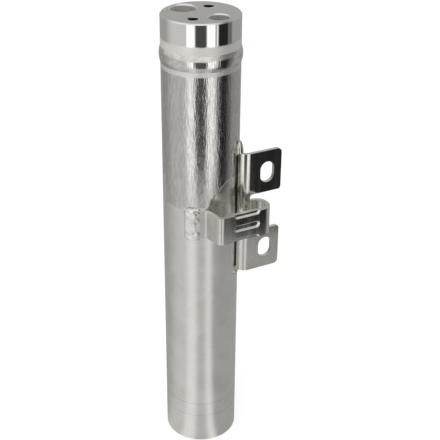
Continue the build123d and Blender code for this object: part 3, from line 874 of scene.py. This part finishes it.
@dataclass
class SeamBead:
    """Crowned seam weld with laid ripples."""

    radius: float = 22.5
    middle: float = 257.8
    width: float = 9.2
    crown: float = 0.85
    spigot_radius: float = 20.4
    inner_radius: float = 20.5
    half_gap: float = 0.5
    steps: int = 360
    across: int = 14
    ripple_count: int = 118
    ripple: float = 0.035

    def build(self, dresser: Dresser) -> bpy.types.Object:
        """Builds and dresses the bead."""
        low, high = self.middle - self.width / 2, self.middle + self.width / 2
        arc = (self.width**2 / 4 + self.crown**2) / (2 * self.crown)
        outline: list[Ring] = []
        for step in range(self.across + 1):
            height = low + self.width * step / self.across
            bulge = math.sqrt(arc**2 - (height - self.middle) ** 2) - (arc - self.crown)
            outline.append((self.radius + max(bulge, 0.0), height))
        shoulder, lip = self.middle + self.half_gap, self.middle - self.half_gap
        outline += [
            (self.radius, shoulder + self.radius - self.spigot_radius),
            (self.spigot_radius, shoulder),
            (self.spigot_radius, lip),
            (self.inner_radius, lip),
            (self.radius, lip - (self.radius - self.inner_radius)),
        ]
        bm = spun(outline, self.steps)
        self._ripple(bm)
        piece = finished_piece("seam_bead", bm, "head_weld_bead")
        dresser.dress(piece, "weld_aluminium")
        return piece

    def _ripple(self, bm: bmesh.types.BMesh) -> None:
        """Lays the ripples and slow waves of a hand-fed weld into the crown."""
        for vert in bm.verts:
            reach = math.hypot(vert.co.x, vert.co.y) / MM
            bulge = reach - self.radius
            if bulge <= 0.02:
                continue
            turn = math.atan2(vert.co.y, vert.co.x)
            across = (vert.co.z / MM - self.middle) / (self.width / 2)
            slow = noise.noise(Vector((3.2 * math.cos(turn), 3.2 * math.sin(turn), across * 0.6)))
            wave = math.sin(self.ripple_count * turn + 2.6 * across * across)
            share = bulge / self.crown
            reach += share * (self.ripple * wave * (0.6 + 0.8 * slow) + 0.10 * slow)
            vert.co.x, vert.co.y = reach * MM * math.cos(turn), reach * MM * math.sin(turn)


@dataclass
class Bracket:
    """Folded sheet bracket with its looped, ribbed strap and slotted ears."""

    edge: float = 0.28
    segments: int = 3

    def build(self, dresser: Dresser) -> bpy.types.Object:
        """Builds and dresses the bracket."""
        bm = merged_copy("mounting_bracket")
        piece = finished_piece("folded_bracket", bm, "mounting_bracket", 28.0)
        rounding = piece.modifiers.new("rounded edges", "BEVEL")
        rounding.width = self.edge * MM
        rounding.segments = self.segments
        rounding.limit_method = "ANGLE"
        rounding.angle_limit = math.radians(38.0)
        rounding.harden_normals = False
        shading = piece.modifiers.new("even shading", "WEIGHTED_NORMAL")
        shading.keep_sharp = True
        dresser.dress(piece, "bracket_sheet")
        return piece


@dataclass
class BracketWelds:
    """The three short welds that hold the bracket on the can."""

    lump: float = 0.12
    fineness: float = 0.32
    passes: int = 4
    sliver: float = 0.005
    names: dict[str, str] = field(
        default_factory=lambda: {
            "upper_bracket_weld": "upper_foot_weld",
            "lower_bracket_weld": "lower_foot_weld",
            "strap_end_weld": "strap_pad_weld",
        }
    )

    def build(self, dresser: Dresser) -> list[bpy.types.Object]:
        """Builds and dresses the welds."""
        pieces = []
        for node, name in self.names.items():
            bm = merged_copy(node)
            bmesh.ops.triangulate(bm, faces=bm.faces[:])
            for _ in range(self.passes):
                long_edges = [edge for edge in bm.edges if edge.calc_length() > 2.0 * self.fineness * MM]
                bmesh.ops.subdivide_edges(bm, edges=long_edges, cuts=1, use_grid_fill=False)
                bmesh.ops.triangulate(bm, faces=[face for face in bm.faces if len(face.verts) > 3])
            bmesh.ops.dissolve_degenerate(bm, dist=self.sliver * MM, edges=bm.edges[:])
            bmesh.ops.triangulate(bm, faces=[face for face in bm.faces if len(face.verts) > 3])
            self._lay(bm)
            piece = finished_piece(name, bm, node, 50.0)
            dresser.dress(piece, "weld_aluminium")
            pieces.append(piece)
        return pieces

    def _lay(self, bm: bmesh.types.BMesh) -> None:
        """Lays small lumps into a weld's outer skin, away from the can."""
        bm.normal_update()
        for vert in bm.verts:
            reach = math.hypot(vert.co.x, vert.co.y) / MM - 22.5
            share = smooth_step(0.15, 0.8, reach)
            lump = noise.noise(vert.co / MM * 0.45) * self.lump * share
            vert.co += vert.normal * min(lump, 0.08) * MM


@dataclass
class InnerParts:
    """The pieces inside the can, which keep their CAD shape and take their finishes."""

    slots: dict[str, str] = field(default_factory=dict)

    def build(self, dresser: Dresser, shown: Iterable[str]) -> list[bpy.types.Object]:
        """Dresses every CAD node, the hidden ones too.

        Args:
            dresser: the finishes.
            shown: names of the nodes that are replaced.

        Returns:
            The nodes that no piece replaces.
        """
        replaced = set(shown)
        for row in frame["record"]["subparts"]:
            self.slots[row["node"]] = row["material_slot"]
        pieces = []
        for name, piece in sorted(frame["nodes"].items()):
            slot = self.slots.get(name)
            if slot is None:
                continue
            dresser.dress(piece, slot)
            if name not in replaced:
                pieces.append(piece)
        return pieces


# The studio


@dataclass(frozen=True)
class StudioCard:
    """A card or wall beside the object, by angle from the camera's side to its right."""

    name: str
    start: float
    end: float
    tone: float
    soft: float


FAR_WALL, NEAR_WALL, UPPER_WALL = 0.36, 0.40, 0.42
FAR_CARDS = (
    StudioCard("lit wall on the left", -100, 10, 0.62, 20),
    StudioCard("white card on the left", -40, -17, 1.25, 2),
    StudioCard("dark camera side", -15, 15, 0.07, 3),
    StudioCard("white card on the right", 17, 40, 1.25, 2),
    StudioCard("narrow white strip", 44, 49, 0.9, 1),
    StudioCard("shade round the black card", 50, 95, 0.15, 3),
    StudioCard("black card on the right", 50, 80, 0.02, 3),
    StudioCard("back card, right half", 165, 190, 0.75, 6),
    StudioCard("back card, left half", -190, -165, 0.75, 6),
)
NEAR_CARDS = (
    StudioCard("lit floor on the left", -95, 15, 0.65, 30),
    StudioCard("glow of the left card", -42, -14, 0.9, 9),
    StudioCard("camera side", -10, 9, 0.55, 6),
    StudioCard("glow of the right card", 14, 32, 0.9, 8),
)
UPPER_CARDS = (
    StudioCard("lit upper wall on the left", -115, 45, 0.86, 18),
    StudioCard("shaded upper wall on the right", 62, 110, 0.22, 14),
)


@dataclass
class Studio:
    """Pale floor, white surround, the tones that the metal reflects, and soft lamps."""

    floor_size: float = 6.0
    card_radius: float = 2.6
    card_drop: float = 0.003
    near_end: tuple[float, float] = (0.360, 0.420)
    dark_end: tuple[float, float] = (0.300, 0.335)
    ambient: float = 0.62

    def build(self) -> None:
        """Builds the floor, the reflecting card, the world and the lamps."""
        self.tones = self._tone_group()
        self._floor()
        self._card()
        self._world()
        self._lamps()

    def _tone_group(self) -> bpy.types.NodeTree:
        """Group that gives the studio's three rings of tone for a place or direction."""
        nodes, given, result = new_group(
            "studio tones", [("Vector", VECTOR, None)], [
                ("Far", COLOR), ("Near", COLOR), ("Sky", COLOR), ("Dark", FLOAT), ("Reach", FLOAT)
            ]
        )
        turned = nodes.add(
            "ShaderNodeVectorRotate", {
                "rotation_type": "Z_AXIS"
            }, Vector=given.outputs["Vector"], Angle=math.radians(-CAMERA_AZIMUTH)
        )
        parts = nodes.add("ShaderNodeSeparateXYZ", None, Vector=turned.outputs[0])
        angle = nodes.math("ARCTAN2", parts.outputs["Y"], parts.outputs["X"])
        flat = nodes.add("ShaderNodeCombineXYZ", None, X=parts.outputs["X"], Y=parts.outputs["Y"], Z=0.0)
        reach = nodes.add("ShaderNodeVectorMath", {"operation": "LENGTH"}, i0=flat.outputs[0])
        rings = (
            ("Far", FAR_WALL, FAR_CARDS), ("Near", NEAR_WALL, NEAR_CARDS), ("Sky", UPPER_WALL, UPPER_CARDS)
        )
        for label, wall, cards in rings:
            tone: Any = wall
            for card in cards:
                edges = (math.radians(card.start), math.radians(card.end), math.radians(card.soft))
                tone = nodes.mix_value(nodes.between(angle, *edges), tone, card.tone)
            nodes.tree.links.new(tone, result.inputs[label])
        dark = nodes.between(angle, math.radians(50.0), math.radians(92.0), math.radians(3.0))
        nodes.tree.links.new(dark, result.inputs["Dark"])
        nodes.tree.links.new(reach.outputs["Value"], result.inputs["Reach"])
        return nodes.tree

    def _plane(self, name: str, bm: bmesh.types.BMesh, material: bpy.types.Material) -> bpy.types.Object:
        """Adds a stage object from a bmesh."""
        mesh = bpy.data.meshes.new(name)
        bm.to_mesh(mesh)
        bm.free()
        mesh.materials.append(material)
        plane = bpy.data.objects.new(name, mesh)
        bpy.context.scene.collection.objects.link(plane)
        return plane

    def _floor(self) -> None:
        """Plain pale floor that reads white and keeps the object's shadow."""
        material = bpy.data.materials.new("pale floor")
        material.use_nodes = True
        material.node_tree.nodes.clear()
        nodes = Nodes(material.node_tree)
        path = nodes.add("ShaderNodeLightPath")
        plain = nodes.add("ShaderNodeBsdfDiffuse", None, Color=(0.50, 0.50, 0.50, 1.0))
        lift = nodes.add(
            "ShaderNodeEmission",
            None,
            Color=(1.0, 1.0, 1.0, 1.0),
            Strength=nodes.math("MULTIPLY", path.outputs["Is Camera Ray"], 0.66),
        )
        both = nodes.add("ShaderNodeAddShader", None, i0=plain.outputs[0], i1=lift.outputs[0])
        nodes.add("ShaderNodeOutputMaterial", None, Surface=both.outputs[0])
        material.cycles.emission_sampling = "NONE"
        bm = bmesh.new()
        bmesh.ops.create_grid(bm, x_segments=1, y_segments=1, size=self.floor_size)
        floor = self._plane("studio_floor", bm, material)
        floor.visible_glossy = False

    def _card(self) -> None:
        """Round card under the floor that only reflections see: white, grey and black studio cards in one."""
        material = bpy.data.materials.new("studio cards")
        material.use_nodes = True
        material.node_tree.nodes.clear()
        nodes = Nodes(material.node_tree)
        coords = nodes.add("ShaderNodeTexCoord").outputs["Object"]
        tones = nodes.add("ShaderNodeGroup", {"node_tree": self.tones}, Vector=coords)
        dark = nodes.math(
            "MULTIPLY", tones.outputs["Dark"], nodes.band(tones.outputs["Reach"], *self.dark_end)
        )
        far = nodes.math("MAXIMUM", dark, nodes.band(tones.outputs["Reach"], *self.near_end))
        colour = nodes.blend(far, tones.outputs["Near"], tones.outputs["Far"])
        glow = nodes.add("ShaderNodeEmission", None, Color=colour, Strength=1.0)
        nodes.add("ShaderNodeOutputMaterial", None, Surface=glow.outputs[0])
        material.cycles.emission_sampling = "NONE"
        bm = bmesh.new()
        place = Matrix.Translation((0.0, 0.0, -self.card_drop))
        bmesh.ops.create_circle(bm, cap_ends=True, radius=self.card_radius, segments=96, matrix=place)
        card = self._plane("studio_cards", bm, material)
        card.visible_camera = card.visible_diffuse = card.visible_transmission = card.visible_shadow = False

    def _world(self) -> None:
        """White for the camera, the studio's walls for reflections, plain light for the rest."""
        world = bpy.data.worlds.new("white studio")
        world.use_nodes = True
        world.node_tree.nodes.clear()
        nodes = Nodes(world.node_tree)
        coords = nodes.add("ShaderNodeTexCoord").outputs["Generated"]
        tones = nodes.add("ShaderNodeGroup", {"node_tree": self.tones}, Vector=coords)
        level = nodes.add("ShaderNodeSeparateXYZ", None, Vector=coords).outputs["Z"]
        walls = nodes.blend(nodes.band(level, -0.12, -0.02), tones.outputs["Far"], tones.outputs["Sky"])
        walls = nodes.blend(nodes.band(level, 0.75, 0.95), walls, (0.9, 0.9, 0.9))
        path = nodes.add("ShaderNodeLightPath")
        white = nodes.add("ShaderNodeBackground", None, Color=(1.0, 1.0, 1.0, 1.0), Strength=1.0)
        plain = nodes.add("ShaderNodeBackground", None, Color=(1.0, 1.0, 1.0, 1.0), Strength=self.ambient)
        shown = nodes.add("ShaderNodeBackground", None, Color=walls, Strength=1.0)
        lit = nodes.add(
            "ShaderNodeMixShader",
            None,
            i0=path.outputs["Is Glossy Ray"],
            i1=plain.outputs[0],
            i2=shown.outputs[0],
        )
        seen = nodes.math("MAXIMUM", path.outputs["Is Camera Ray"], path.outputs["Is Transmission Ray"])
        final = nodes.add("ShaderNodeMixShader", None, i0=seen, i1=lit.outputs[0], i2=white.outputs[0])
        nodes.add("ShaderNodeOutputWorld", None, Surface=final.outputs[0])
        bpy.context.scene.world = world

    def _lamps(self) -> None:
        """Two large soft lamps."""
        for name, place, size, power in (
            ("left_lamp", (-1.1, -0.7, 1.3), 1.2, 9.0),
            ("right_lamp", (1.2, -0.5, 1.0), 1.0, 4.0),
        ):
            data = bpy.data.lights.new(name, "AREA")
            data.shape = "DISK"
            data.size = size
            data.energy = power
            lamp = bpy.data.objects.new(name, data)
            bpy.context.scene.collection.objects.link(lamp)
            lamp.location = place
            aim = Vector((0.0, 0.0, 0.15)) - Vector(place)
            lamp.rotation_euler = aim.to_track_quat("-Z", "Y").to_euler()
            lamp.visible_glossy = False


@dataclass
class PhotoCamera:
    """Camera at the photograph's viewing angle."""

    place: tuple[float, float, float] = (-0.23188, -0.45508, 0.4276)
    tilt: float = 28.31
    turn: float = -27.0
    lens: float = 78.71
    shift: float = 0.0435

    def build(self) -> None:
        """Creates the camera and makes it the scene's."""
        data = bpy.data.cameras.new("photo_camera")
        data.lens = self.lens
        data.sensor_width = 36.0
        data.shift_x = self.shift
        data.clip_start = 0.01
        camera = bpy.data.objects.new("photo_camera", data)
        bpy.context.scene.collection.objects.link(camera)
        camera.location = self.place
        camera.rotation_euler = (math.radians(90.0 - self.tilt), 0.0, math.radians(self.turn))
        bpy.context.scene.camera = camera


def main() -> None:
    """Builds the studio, the camera and every piece, in order, and reports each piece."""
    logging.basicConfig(level=logging.INFO, format="%(message)s")
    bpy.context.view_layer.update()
    bpy.context.scene.view_settings.view_transform = "Standard"
    PhotoCamera().build()
    Studio().build()
    dresser = Dresser()
    pieces = [
        HeadBlock().build(dresser),
        ShellCan().build(dresser),
        SeamBead().build(dresser),
        Bracket().build(dresser),
    ]
    pieces += BracketWelds().build(dresser)
    replaced = [node for piece in pieces for node in piece["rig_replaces"]]
    pieces += InnerParts().build(dresser, replaced)
    for piece in pieces:
        log.info("%s: %d faces, %s", piece.name, len(piece.data.polygons), piece.data.materials[0].name)


if __name__ == "__main__":
    main()
